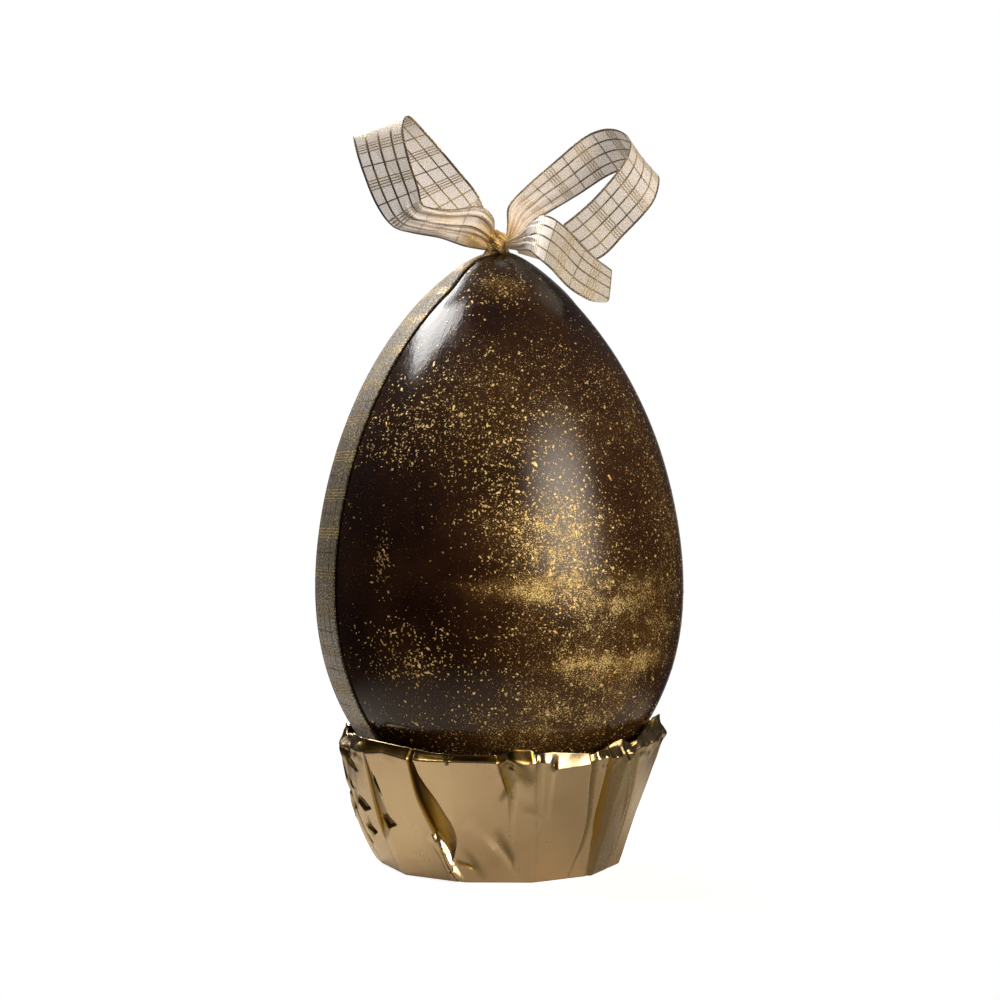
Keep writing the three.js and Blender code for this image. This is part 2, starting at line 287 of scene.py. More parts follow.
def surface_piece(name, points, material, ring=False, uv=None, marks=(), stands_for=()):
    """A smooth piece through a grid of points, whose rows are closed into rings if asked."""
    rows, columns = points.shape[:2]
    wide = columns if ring else columns - 1
    row, column = np.meshgrid(np.arange(rows - 1), np.arange(wide), indexing="ij")
    here = row * columns + column
    beside = row * columns + (column + 1) % columns
    faces = np.stack((here, beside, beside + columns, here + columns), -1).reshape(-1, 4)
    mesh = bpy.data.meshes.new(name)
    mesh.from_pydata(points.reshape(-1, 3).tolist(), [], faces.tolist())
    if uv is not None:
        layer = mesh.uv_layers.new(name="cloth")
        layer.uv.foreach_set("vector", uv.reshape(-1, 2)[faces.ravel()].ravel())
    for key, value in dict(marks).items():
        mark = mesh.attributes.new(key, "FLOAT", "POINT")
        mark.data.foreach_set("value", np.asarray(value, float).ravel())
    work = bmesh.new()
    work.from_mesh(mesh)
    bmesh.ops.remove_doubles(work, verts=work.verts, dist=1e-6)
    bmesh.ops.dissolve_degenerate(work, edges=work.edges, dist=1e-7)
    work.to_mesh(mesh)
    work.free()
    mesh.shade_smooth()
    piece = bpy.data.objects.new(name, mesh)
    bpy.context.scene.collection.objects.link(piece)
    mesh.materials.append(material)
    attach(piece, "root")
    if stands_for:
        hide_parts(*stands_for)
    return piece


CHOCOLATE_DARK = (0.012, 0.0034, 0.002, 1)
CHOCOLATE_BROWN = (0.030, 0.0105, 0.004, 1)
DUST_GOLD = (0.74, 0.50, 0.13, 1)
DUST_PALE = (0.92, 0.69, 0.26, 1)
DUST_OLIVE = (0.32, 0.185, 0.03, 1)
DUST_BROWN = (0.25, 0.12, 0.028, 1)
# Clouds of dust: place and half-sizes across and up in millimetres, how much fine dust they
# have, and how much coarse dust.
CLOUDS = [
    ((36, -60, 104), (44, 44), 0.66, 0.6),
    ((32, -69, 117), (40, 8), 0.85, 0.5),
    ((8, -76, 119), (24, 5), 0.3, 0.1),
    ((46, -56, 87), (34, 5.5), 0.62, 0.5),
    ((20, -71, 139), (25, 20), 0.55, 1.2),
    ((16, -60, 60), (56, 22), 0.5, 0.6),
    ((4, -68, 160), (30, 30), 0.3, 0.9),
    ((0, -60, 184), (36, 16), 0.14, 0.7),
    ((34, -48, 190), (34, 40), 0.36, 0.6),
    ((-26, -50, 182), (28, 22), 0.16, 0.6),
    ((-10, -50, 205), (26, 20), 0.25, 0.5),
    ((-32, -62, 90), (20, 15), 0.14, 0.7),
    ((0, -26, 240), (14, 10), 0.7, 0.9),
    ((64, -26, 140), (26, 64), 0.46, 0.5),
    ((40, 60, 150), (44, 50), 0.45, 0.6),
    ((10, 72, 96), (50, 10), 0.7, 0.4),
    ((-36, 62, 130), (36, 54), 0.4, 0.6),
    ((-56, 40, 84), (36, 14), 0.4, 0.5),
    ((-20, 48, 200), (30, 30), 0.35, 0.6),
    ((30, 66, 66), (54, 16), 0.55, 0.6),
    ((60, 30, 190), (30, 36), 0.35, 0.5),
]
CLOUD_EDGE = (0.1, 1.5)  # a cloud thins out between these shares of its half-sizes
WIPED_HALF = 9  # flatter clouds are bands, wiped on sideways
RAGGED = 0.0011  # how far the specks' outlines wander
GRAIN_CELL = 0.0013  # how far small specks lie apart
CRUMB_CELL = 0.0026  # and large ones

chocolate, shade, surface = new_finish("dusted_chocolate")
place = shade.node("TexCoord", {}, {}, "Object")
patchy = place.noise(30, 5, 0.62)
clotted = place.noise(150, 3, 0.6)
streaky = place.vector("MULTIPLY", (22, 22, 110)).noise(1, 3)
fine = 0.0
banded = 0.0
coarse = 0.01
for centre, (half_across, half_up), fine_share, coarse_share in CLOUDS:
    away = place.vector("SUBTRACT", [part / 1000 for part in centre])
    away = away.vector("MULTIPLY", (1000 / half_across, 1000 / half_across, 1000 / half_up))
    cloud = away.vector("LENGTH", output="Value").below(*CLOUD_EDGE)
    if half_up < WIPED_HALF:
        banded = cloud * fine_share + banded
    else:
        fine = cloud * fine_share + fine
    coarse = cloud * coarse_share + coarse
veil = fine * (0.6 + patchy * 0.6)
wiped = banded * (streaky.above(0.35, 0.65) * 0.5 + clotted.above(0.4, 0.6) * 0.25)
uneven = patchy.above(0.2, 0.78) * 0.6 + clotted.above(0.3, 0.7) * 0.4 + 0.2
fine = fine * uneven * (0.45 + streaky) + banded * (clotted * 0.5 + streaky.above(0.35, 0.6) * 0.35)
coarse = coarse * uneven


def specks(place, cell, density, smallest, largest):
    """Specks of dust, one or none in each cell, with sizes as shares of a cell."""
    cells = {"Vector": place, "Scale": 1 / cell}
    near = place.node("TexVoronoi", {}, cells, "Distance")
    chance = place.node("TexVoronoi", {}, cells, "Color")
    luck, girth = [place.node("SeparateColor", {}, {"Color": chance}, k) for k in (0, 1)]
    size = girth * girth * (largest - smallest) + smallest
    return (density - luck).above(0.0, 0.02) * (size - near).above(0.0, 0.09)


wander = place.noise(1100, 2, output="Color")
ragged = place.vector("ADD", wander.vector("MULTIPLY", (RAGGED, RAGGED, RAGGED)))
dots = place.noise(1900, 3, 0.8)
mist = (dots + fine * 0.21).above(0.66, 0.74)
grains = specks(ragged, GRAIN_CELL, coarse * 0.75 + fine * 0.2, 0.14, 0.4)
crumbs = specks(ragged, CRUMB_CELL, coarse * 0.35, 0.1, 0.3)
gold = mist.maths("MAXIMUM", grains).maths("MAXIMUM", crumbs)
thick = (veil + wiped).above(0.6, 1.5)
haze = (veil * 0.2 + wiped * 0.7).maths("MINIMUM", 0.6)
brown = patchy.above(0.35, 0.7).mix(CHOCOLATE_DARK, CHOCOLATE_BROWN)
hazed = haze.mix(brown, thick.mix(DUST_BROWN, DUST_OLIVE))
dust = clotted.above(0.35, 0.6).mix(DUST_GOLD, DUST_PALE)
smear = place.noise(900, 2)
around = place.vector("MULTIPLY", (1, 1, 0)).vector("NORMALIZE")
up_slowly = place.vector("MULTIPLY", (0, 0, 9))
brushed = around.vector("ADD", up_slowly).noise(14, 4, 0.7)
near_tip = shade.node("SeparateXYZ", {}, {"Vector": place}, "Z").above(0.17, 0.22)
bump = gold * 0.6 + patchy * 0.5 + smear * 0.05 + brushed * near_tip * 2.6
relief = shade.node("Bump", {}, {"Strength": 0.35, "Distance": 0.0002, "Height": bump})
feed(
    surface,
    Base_Color=gold.mix(hazed, dust),
    Metallic=gold * 0.35,
    Roughness=gold * 0.25 + haze * 0.45 + patchy * 0.08 + 0.09,
    Normal=relief,
    IOR=1.42,
)

turns = np.linspace(0, 2 * math.pi, EGG_COLUMNS, endpoint=False)
turn, angle = np.meshgrid(turns, np.linspace(0, math.pi, EGG_ROWS))
waves = np.sin(5 * turn + 3 * angle) + np.sin(9 * angle + 2 * turn) + 0.6 * np.sin(17 * angle - 4 * turn)
egg_points = on_egg(turn, angle, EGG_RIPPLE * waves * np.sin(angle))
surface_piece("chocolate_egg", egg_points, chocolate, ring=True, stands_for=["egg"])

# ----------------------------------------------------------------------------
# Gold flakes: crumbs of gold leaf that stick to the chocolate, thickest in loose drifts. Each is
# a thin many-sided scale, pressed on to the egg.
FLAKE_DRIFTS = [  # turn from the front and height, spread of both (degrees, mm), how many, size (mm)
    ((-28, 184), (14, 14), 420, 0.52),
    ((-20, 172), (20, 10), 220, 0.5),
    ((-42, 171), (8, 6), 100, 0.5),
    ((-27, 92), (12, 9), 330, 0.68),
    ((4, 152), (8, 16), 340, 0.58),
    ((18, 136), (11, 15), 560, 0.56),
    ((28, 116), (20, 12), 360, 0.46),
    ((-2, 245), (34, 5), 90, 0.6),
    ((-6, 232), (16, 4), 70, 0.62),
    ((24, 214), (26, 18), 210, 0.5),
    ((48, 190), (16, 26), 260, 0.46),
    ((20, 70), (34, 14), 420, 0.5),
    ((-10, 62), (24, 10), 160, 0.55),
    ((56, 110), (20, 44), 380, 0.46),
    ((-55, 150), (5, 8), 40, 0.6),
    ((-37, 128), (1.6, 6), 120, 0.55),
    ((150, 150), (24, 30), 560, 0.58),
    ((196, 110), (26, 24), 500, 0.58),
    ((230, 170), (22, 26), 380, 0.58),
    ((120, 80), (26, 18), 340, 0.52),
    ((250, 90), (20, 20), 280, 0.62),
    ((180, 215), (40, 16), 180, 0.58),
    ((100, 170), (20, 30), 260, 0.5),
]
FLAKE_SIDES = 6
FLAKE_LIFT = 0.00006
FLAKE_ROOT = 0.0003  # how far its underside is sunk in the chocolate
FLAKE_CROWN = 0.12  # how high its middle stands, as a share of its half-size
FLAKE_HALVES = (0.27, 1.6)  # smallest and largest half-size, as shares of the drift's size
FLAKE_SPREAD = 0.62  # how much the half-sizes differ
FLAKE_STRETCH = 0.8  # how much longer than wide they are at most
FLAKES_FROM, FLAKES_TO = 0.05, 0.252  # heights between which flakes stick
NUDGE = 0.001

draw = np.random.default_rng(11)
profile_angles = np.linspace(0.02, math.pi - 0.02, 4000)
profile_heights = egg_profile(profile_angles)[1] + EGG_FOOT[1]
corners = []
faces = []
for (side, height), (spread, rise), count, size in FLAKE_DRIFTS:
    for _ in range(count):
        flake_turn = math.radians(side + draw.normal() * spread)
        flake_height = (height + draw.normal() * rise) / 1000
        growth = math.exp(abs(draw.normal()) * FLAKE_SPREAD)
        half = size / 1000 * min(FLAKE_HALVES[0] * growth, FLAKE_HALVES[1])
        if not FLAKES_FROM < flake_height < FLAKES_TO:
            continue
        up = np.interp(flake_height, profile_heights, profile_angles)
        middle = on_egg(flake_turn, up, FLAKE_LIFT)
        skin = on_egg(flake_turn, up)
        aside = on_egg(flake_turn + NUDGE, up) - skin
        aside /= np.linalg.norm(aside)
        rising = on_egg(flake_turn, up + NUDGE) - skin
        rising /= np.linalg.norm(rising)
        outward = np.cross(aside, rising)
        stretch = 1 + draw.random() * FLAKE_STRETCH
        start = len(corners)
        corners.append(middle + outward * half * FLAKE_CROWN)
        way = draw.random() * 2 * math.pi
        lie = (math.cos(way), math.sin(way))
        for k in range(FLAKE_SIDES):
            a = 2 * math.pi * k / FLAKE_SIDES
            r = half * (0.45 + 0.85 * draw.random())
            long, short = math.cos(a) * r * stretch, math.sin(a) * r / stretch
            edge = aside * (long * lie[0] - short * lie[1]) + rising * (long * lie[1] + short * lie[0])
            corners.append(middle + edge)
        for k in range(FLAKE_SIDES):
            corners.append(corners[start + 1 + k] - outward * FLAKE_ROOT)
        corners.append(middle - outward * FLAKE_ROOT)
        bottom = start + 1 + 2 * FLAKE_SIDES
        for k in range(FLAKE_SIDES):
            a = start + 1 + k
            b = start + 1 + (k + 1) % FLAKE_SIDES
            faces.append((start, a, b))
            faces.append((a, a + FLAKE_SIDES, b + FLAKE_SIDES, b))
            faces.append((bottom, b + FLAKE_SIDES, a + FLAKE_SIDES))

LEAF_DEEP = (0.66, 0.40, 0.10, 1)
LEAF_LIGHT = (1.0, 0.74, 0.32, 1)
leaf, shade, surface = new_finish("gold_leaf")
place = shade.node("TexCoord", {}, {}, "Object")
tone = place.noise(260, 2)
wrinkle = place.noise(2600, 2)
crinkled = shade.node("Bump", {}, {"Strength": 0.5, "Distance": 0.0001, "Height": wrinkle})
feed(
    surface,
    Base_Color=tone.above(0.4, 0.6).mix(LEAF_DEEP, LEAF_LIGHT),
    Metallic=0.45,
    Roughness=tone * 0.3 + 0.25,
    Normal=crinkled,
)
mesh = bpy.data.meshes.new("gold_flakes")
mesh.from_pydata([tuple(c) for c in corners], [], faces)
flakes = bpy.data.objects.new("gold_flakes", mesh)
bpy.context.scene.collection.objects.link(flakes)
mesh.materials.append(leaf)
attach(flakes, "root")

# ----------------------------------------------------------------------------
# Foil cup: one sheet of stiff gold foil pressed round an eleven-sided foot and folded up into a
# flared wall, whose spare width is laid in overlapping pleats. Its rim is turned in and crushed.
# Lengths are in millimetres in this section, and turns in degrees from the front to the right.
FOOT_RADIUS = 50.3
FOOT_SIDES = 11
FOOT_FIRST_CORNER = -17.5
BROW_RADIUS = 69.4  # where the wall turns in to the lip
LIP_INSIDE = (65.2, -1.2)  # radius, and height over the rim
WELL = [(64.2, 50), (57.5, 37), (50, 32), (34, 14.5), (20, 9), (0.01, 7)]  # radius, height inside
SOLE_EDGE = 0.7  # how far the flat sole ends inside the foot's radius
FOOT_LEVEL, BROW_LEVEL, RIM_LEVEL = 0.5, 51, 56  # heights at which pleats and creases are read
WALL_ROWS = 96
LIP_ROWS = 12
CELLS_PER_DEGREE = 2.2
PLEAT_CELLS = 16
PANEL_CELLS = 5  # at least, from a pleat to the next one
PANEL_HEIGHT = 28  # where a panel's width gives it its cells
NARROWEST_PLEAT = 0.3
PLEAT_EDGE = {0: 0.3}
PLEAT_BEND = 2.5
DEEP_PLEAT = 2.6  # set in this far, a pleat is fully shaded
PLEAT_FADE = 0.62  # how much of its shade it loses to the right
WALL_DEGREE = 1.06  # a degree's length on the wall
RIM_DEGREE = 1.15  # and on the rim
CORNERS_LOST = 0.72  # how much of the foot's corners is gone at the brow
# The rim's height and the brow's height under it, by turn.
RIM = {
    -180: 57.2, -150: 58.4, -125: 61.5, -105: 61, -92: 57.4, -78: 55.2, -64: 56.6, -49: 56.4, -32: 54.7,
    -28: 54, -22: 53.2, -9: 52.9, -2: 53.1, 2: 54.4, 4.5: 55.3, 10.7: 55.4, 11.3: 53.7, 18: 54.1,
    25: 53.3, 33: 52.6, 38.6: 54.2, 43: 56.4, 45.5: 56.8, 48: 55.3, 55: 55.4, 61.8: 58.4, 73: 63,
    80: 63, 90: 59.4, 110: 57, 150: 57.6, 180: 57.2,
}
BROW = {
    -180: 52.5, -92: 50.5, -78: 51, -51: 50.8, -43: 51.9, -32: 50, -17: 50.4, -2: 50.3, 4: 50.8, 9: 49.4,
    11.2: 49.6, 11.8: 50.2, 17.6: 49.4, 18.4: 47, 31: 48.2, 33: 49.6, 40: 50.4, 48: 50.6, 60: 53,
    73: 56, 84: 54.5, 100: 52.4, 180: 52.5,
}
# How far the lip leans inwards, by turn.
TURN_IN = {
    -180: 2.4, -130: 2.4, -115: 4.6, -95: 4.6, -82: 3.2, -62: 2.2, -50: 1.2, -36: 1.6, -28: 2.5, -4: 2.5,
    3: 0.9, 10.8: 0.8, 11.6: 0.5, 18: 0.3, 33: 0.6, 40: 1.8, 60: 2, 180: 2.4,
}
# How dark the lip is from the chocolate it mirrors, and how dark the cup is inside.
LIP_SHADE = {
    -180: 0.1, -60: 0.1, -54: 0.6, -50: 1.1, -34: 1.22, -6: 1.18, -2: 0.5, 2: 0.4, 3: 1.3, 10.4: 1.25,
    11: 0, 33: 0, 36: 0.3, 180: 0.1,
}
WELL_SHADE = {-180: 0.5, -135: 0.5, -120: 0.05, -75: 0.05, -60: 0.6, 180: 0.6}
# How crushed the rim is.
CRUSHED = {
    -180: 0, -150: 1, -60: 1, -54: 0.15, -4: 0.1, 0: 0.4, 10: 0.2, 12: 0.06, 33: 0.1, 37: 0.9, 150: 1, 180: 0,
}
# How far the wall bellies out low down, and how far the rim is pressed in.
BULGE = {-180: 0, -112: 0, -92: 2.2, -70: 2.2, -50: 0.6, -38: 0, 180: 0}
SQUEEZE = {-180: 0, -125: 0, -98: 1.6, -84: 1.8, -66: 0.8, -48: 0, 180: 0}
# The crushed rim's zigzags: direction, step, where they start, depth.
FACETS = [(20, 9.1, 0.2, 0.5), (74, 7.3, 0.5, 0.45), (131, 8.2, 0.1, 0.5), (162, 11.6, 0.7, 0.45)]

# A pleat's line, its open width to the right, its depth, how shaded it is and its cut edge, by
# height. Its bend is how hollow it is, and its panel how shaded the wall is up to the next one.
PLEATS = [
    {"line": {56: -86, 30: -81, 0: -76}, "width": {56: 5, 36: 6, 20: 4, 4: 2},
     "depth": {56: 1.6, 36: 2.2, 20: 1.2, 4: 0.3}, "panel": 0.09},
    {"line": {56: -53.6, 46: -54.4, 24: -57.2, 0: -58},
     "width": {56: 1.2, 48: 3, 36: 6.2, 24: 9.6, 19: 9, 15: 4, 0: 2},
     "depth": {56: 0.6, 48: 1.0, 36: 1.3, 24: 1.4, 20: 1.3, 17: 0.3, 0: 0.2},
     "tone": {56: 0.2, 48: 0.4, 30: 0.5, 24: 0.7, 19: 0.9, 16: 0.1, 0: 0}, "panel": 0.08},
    {"line": {56: -32, 48: -32.6, 36: -32.4, 27: -30.4, 19: -28.1, 10: -25.3, 2: -22.6, 0: -18.5},
     "width": {56: 1.6, 48: 3.2, 41.5: 5.2, 35.6: 9, 30: 10, 23: 12.2, 15: 10.4, 11: 5, 8: 4, 0: 4},
     "bend": 3, "depth": {56: 0.7, 48: 1.6, 42: 2.1, 28: 2.5, 22: 2.5, 13: 2.0, 9: 1.0, 0: 0.8},
     "tone": {56: 0.6, 48: 1.4, 42: 1.6, 34: 1.25, 24: 0.85, 14: 0.6, 10: 0.2, 0: 0.1}},
    {"line": {56: -1.8, 50: -0.6, 44: 0.6, 38: 2.6, 30: 3.2, 0: 4},
     "width": {56: 5, 44: 5, 34: 3, 24: 2, 0: 2}, "depth": {56: 1.4, 46: 1.1, 36: 0.6, 26: 0.2, 0: 0.1}},
    {"line": {56: 11, 30: 13.2, 0: 15.2}, "width": {56: 3, 0: 2}, "depth": {56: 0.8, 40: 0.3, 0: 0.2}},
    {"line": {56: 31, 43: 32.6, 34: 34, 25: 36, 15: 37, 4: 34.2, 0: 34}, "width": {56: 3, 30: 2.4, 0: 1.6},
     "depth": {56: 1.1, 34: 1.1, 15: 1.0, 0: 0.4}, "panel": 0.05},
    {"line": {56: 39.4, 47: 38.8, 32: 38.9, 25: 39.4, 9: 43.3, 0: 45},
     "width": {56: 1, 46: 2, 36: 3.6, 30: 4.4, 20: 4.6, 0: 2.4},
     "depth": {56: 0.6, 46: 1.4, 36: 2.2, 30: 2.4, 20: 2.2, 0: 1.0},
     "tone": {56: 0.5, 46: 0.9, 30: 1, 16: 0.8, 4: 0.3}, "panel": 0.28},
    {"line": {56: 50, 48: 51, 12: 65, 0: 67}, "width": {56: 5, 30: 4, 0: 3},
     "depth": {56: 1.2, 30: 1.0, 0: 0.3}, "panel": 0.16},
    {"line": {56: 76, 0: 81}, "width": {56: 4, 30: 5, 0: 3}, "depth": {56: 1.6, 30: 1.4, 0: 0.4},
     "panel": 0.08},
]
BACK_PLEATS = 7
BACK_FROM = 104
BACK_STEP = 25
for k in range(BACK_PLEATS):
    swing = math.sin(2.4 * k)
    rim_turn = BACK_FROM + BACK_STEP * k
    PLEATS.append({
        "line": {56: rim_turn, 30: rim_turn + 4 * swing, 0: rim_turn + 7 * swing},
        "width": {56: 2, 40: 4 + swing, 20: 7 + 2 * swing, 6: 5, 0: 2},
        "depth": {56: 0.8, 40: 2.0, 20: 2.7 + 0.4 * swing, 8: 1.4, 0: 0.3},
        "edge": {56: 0.3, 24: 0.4, 14: 2 + swing, 5: 0.4},
    })

# Creases that stand out or in: turn, height, direction from level, half-length, half-width and
# reach. Some also have how shaded they are, which is lit if less than nothing, and some of these
# how far the far side spreads.
CREASES = [
    (8, 36.5, -41, 8, 3, 0.7), (3, 40, 60, 7, 2, -0.5), (9, 26, 70, 8, 3, -0.25),
    (-3, 14, -50, 16, 3.4, 1.8, -0.6, 1.6), (3.3, 13.4, -61, 12, 3, -0.7, 0.3),
    (-11, 8, -58, 9, 3.4, -0.7, 0.25), (-14.4, 7.4, -19, 5.4, 1.3, -0.8, 0.8),
    (-24.4, 13.3, -58, 8, 2.1, 3.3, -2.5, 2.2), (-20.2, 4.6, -58, 8, 2.3, 3.7, -2.5, 2.2),
    (7.5, 9, 75, 6, 1.6, 0.6, -0.3), (12.5, 30, -28, 6, 2.4, -0.4, 0.15),
    (2, 43, -72, 9, 1.4, -0.7, 0.7), (-84, 31, 40, 6, 2.4, -3), (-88, 14, 70, 5, 2, -2.4),
    (-82, 24, 60, 5, 2, -2), (-80, 37, 80, 5, 2.4, 1.2),
    (6.4, 48.6, -48, 8.4, 4.6, 1.2, 0.42), (1.5, 51, 60, 3, 1.5, 1.1), (3.6, 49, -35, 3.4, 1.4, -1.2),
    (0, 47.5, -60, 4, 1.6, 0.7), (-31.6, 53, 80, 3.4, 1.1, -1.1), (-17, 52.4, 75, 3, 1.0, -1.1),
    (-29.6, 52, -50, 3, 1.6, 0.7), (17.8, 51.4, 78, 3.6, 1.2, -1.3), (12, 52, 85, 4, 1.2, 0.8),
    (36, 50.5, 70, 5, 1.4, 0.9), (41, 49, 75, 6, 1.8, 1.1), (46.5, 52, -70, 5, 1.6, 0.9),
    (49, 50, -60, 5, 1.6, -1.0), (54, 54, 20, 4, 2, -0.9), (60, 52, 75, 6, 2, 1.2),
    (66, 56, 60, 6, 2.4, -1.6), (70, 50, 80, 7, 2.4, 1.4), (75, 57, 70, 5, 2, 1.5),
    (-62, 52, 70, 6, 2.4, 1.5), (-68, 50, 60, 6, 2.4, -1.4), (-74, 47, 80, 9, 2.4, 1.3),
    (-57, 55, 20, 4, 2, -0.8), (-79, 40, 75, 8, 2.4, -1.5), (-72, 30, 60, 7, 2.2, -1.2),
    (-67, 18, 70, 6, 2, -1.1), (-64, 36, 80, 9, 2, 0.8), (-84, 22, 70, 6, 2, 1.2),
    (58, 30, -68, 14, 2.4, 0.7), (24, 40, 10, 7, 3, 0.25), (40, 14, 80, 6, 2, 0.6),
]
CHANCE_CREASES = 90
RIM_CREASES = 70
WALL_CREASES = 40
SMOOTH_FRONT = (-52, 36)  # the rim is hardly creased between these turns
draw = np.random.default_rng(5)
for _ in range(CHANCE_CREASES):  # small ones, most of them near the rim or the foot
    CREASES.append((
        draw.uniform(-180, 180), draw.choice([draw.uniform(0, 10), draw.uniform(44, 57)]),
        draw.uniform(-90, 90), draw.uniform(2, 6), draw.uniform(1.2, 3), draw.uniform(-0.3, 0.3),
    ))
for _ in range(RIM_CREASES):  # deeper ones
    turn = draw.uniform(-180, 180)
    reach = draw.uniform(-1, 1) * (0.1 if SMOOTH_FRONT[0] < turn < SMOOTH_FRONT[1] else 0.95)
    CREASES.append((
        turn, draw.uniform(49, 59), draw.uniform(25, 110), draw.uniform(3, 7), draw.uniform(1.8, 3.6), reach,
    ))
for _ in range(WALL_CREASES):  # soft ones
    CREASES.append((
        draw.uniform(-180, 180), draw.uniform(6, 46), draw.uniform(40, 130), draw.uniform(6, 14),
        draw.uniform(2.5, 5), draw.uniform(-0.25, 0.25),
    ))
POCKETS = [  # dents darkened with painted shade: turn, height, direction, half-length, half-width
    (-68, 46.5, -31, 9.5, 3), (-66, 28.3, -12, 8, 4), (-66.5, 17.3, -8, 6, 3.2), (-50.3, 23, -16, 6, 3.8),
    (-50.8, 40.5, -72, 8, 1.7), (-73, 36, -60, 4, 1.6), (-74, 12, -50, 3, 1.6), (70, 57, 50, 5, 3),
]
POCKET_DEPTH = 1.4


def read(table, at):
    """A value from a table, at a height or a turn."""
    keys = sorted(table)
    return np.interp(at, keys, [table[key] for key in keys])


def eased(table, at):
    """A value from a table with its corners rounded off."""
    return float(np.mean([read(table, at + step) for step in (-3, -1, 1, 3)]))


def smooth(value, low, high):
    """0 below low, 1 above high, eased between."""
    share = np.clip((value - low) / (high - low), 0, 1)
    return share * share * (3 - 2 * share)


def centred(turns):
    """The same turns, counted from -180 to 180."""
    return (turns + 180) % 360 - 180


def wall_columns(height):
    """The wall's columns at a height: their turns, how far they are set in, how shaded they are."""
    lines = [eased(pleat["line"], height) for pleat in PLEATS]
    afters = lines[1:] + [lines[0] + 360]
    columns = []
    for j, pleat in enumerate(PLEATS):
        line = lines[j]
        width = eased(pleat["width"], height)
        depth = eased(pleat["depth"], height)
        edge = eased(pleat.get("edge", PLEAT_EDGE), height)
        tone = eased(pleat.get("tone", {0: min(depth / DEEP_PLEAT, 1)}), height)
        panel = pleat.get("panel", 0.0)
        here, there = [read(PLEATS[k % len(PLEATS)]["line"], PANEL_HEIGHT) for k in (j, j + 1)]
        panel_cells = max(int((there - here) % 360 * CELLS_PER_DEGREE) - PLEAT_CELLS, PANEL_CELLS)
        columns.append((line, 0.0, 0.0))
        for k in range(PLEAT_CELLS):
            share = k / (PLEAT_CELLS - 1)
            turn = line + edge + max(width - edge, NARROWEST_PLEAT) * share
            inset = depth * (1 - share ** pleat.get("bend", PLEAT_BEND))
            shade = tone * (1 - PLEAT_FADE * share) * (share < 0.95)
            columns.append((turn, inset, max(shade, panel)))
        width = max(width, edge + NARROWEST_PLEAT)
        for k in range(1, panel_cells):
            columns.append((line + width + (afters[j] - line - width) * k / panel_cells, 0.0, panel))
    return [np.array(part) for part in zip(*columns)]


def from_fold(turns, height, fold):
    """How far points lie along a fold's line and off it, as shares of its half-sizes."""
    turn, at, direction, half_length, half_width = fold
    aside = centred(turns - turn) * WALL_DEGREE
    rise = height - at
    c, s = math.cos(math.radians(direction)), math.sin(math.radians(direction))
    return np.abs(aside * c + rise * s) / half_length, (rise * c - aside * s) / half_width


def crumpled(turns, height):
    """How far creases and pockets move the foil out, how shaded it is there, and how lit."""
    out = 0.0 * turns
    shaded = 0.0 * turns
    lit = 0.0 * turns
    around = centred(turns)
    for direction, step, start, depth in FACETS:
        c, s = math.cos(math.radians(direction)), math.sin(math.radians(direction))
        zigzag = np.abs(((around * RIM_DEGREE * c + height * s) / step + start) % 1 - 0.5) * 4 - 1
        out += depth * zigzag * read(CRUSHED, around) * smooth(height, 44, 51)
    for crease in CREASES:
        reach = crease[5]
        tone = crease[6] if len(crease) > 6 else 0.4 * (reach < -0.4)
        spread = crease[7] if len(crease) > 7 else 1
        along, off = from_fold(turns, height, crease[:5])
        off = np.where(off < 0, -off / spread, off)
        tent = np.clip(1 - along, 0, 1) ** 0.7 * np.clip(1 - off, 0, 1)
        out += reach * tent
        shaded = np.maximum(shaded, tone * tent**0.7)
        lit = np.maximum(lit, np.clip(-tone * tent, 0, 1))
    for fold in POCKETS:
        along, off = from_fold(turns, height, fold)
        inside = 1 - along - np.abs(off)
        out -= POCKET_DEPTH * np.clip(2 * inside, 0, 1)
        shaded = np.maximum(shaded, np.clip(5 * inside, 0, 1))
    return out, shaded, lit


def foot_share(turn):
    """How far the many-sided foot reaches at a turn, as a share of its corners' radius."""
    side = 360 / FOOT_SIDES
    from_middle = (turn - FOOT_FIRST_CORNER) % side - side / 2
    return math.cos(math.radians(side / 2)) / np.cos(np.radians(from_middle))


def ring_points(turns, radius, height):
    """One row of the foil's points, in metres."""
    angle = np.radians(turns)
    return np.stack([radius * np.sin(angle), -radius * np.cos(angle), height + 0 * turns], -1) / 1000


